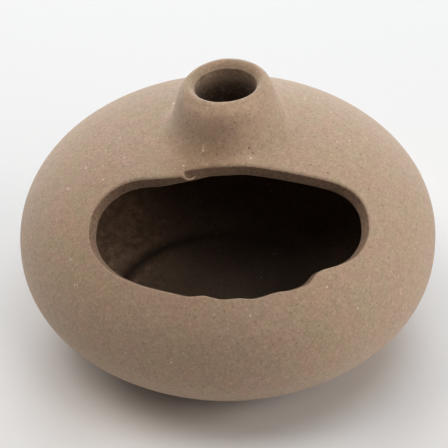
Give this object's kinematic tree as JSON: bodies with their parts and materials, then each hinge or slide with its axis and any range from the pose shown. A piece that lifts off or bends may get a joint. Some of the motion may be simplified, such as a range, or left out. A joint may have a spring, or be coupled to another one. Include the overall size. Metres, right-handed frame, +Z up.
{
  "type": "ocarina",
  "caption": "Squat round hollow ocarina of matte unglazed clay, with a short open neck on top and a wide hand-cut window in the front shoulder.",
  "frame": {"origin": "centre of the flat foot, on the surface that the object stands on", "axes": "+Z up along the neck; the window faces -Y, with +X to the right of a player who looks at it"},
  "size_m": [0.13, 0.13, 0.0891],
  "materials": {
    "clay": "matte unglazed, fine grained",
    "slip": "matte unglazed, smoothed"
  },
  "bodies": {
    "root": {"base_slab": "clay", "base_joint_slip": "slip", "lower_bowl": "clay", "equator_joint_slip": "slip", "upper_dome": "clay", "neck_joint_slip": "slip", "neck_root_coil": "clay", "neck_collar": "clay"}
  },
  "joints": []
}
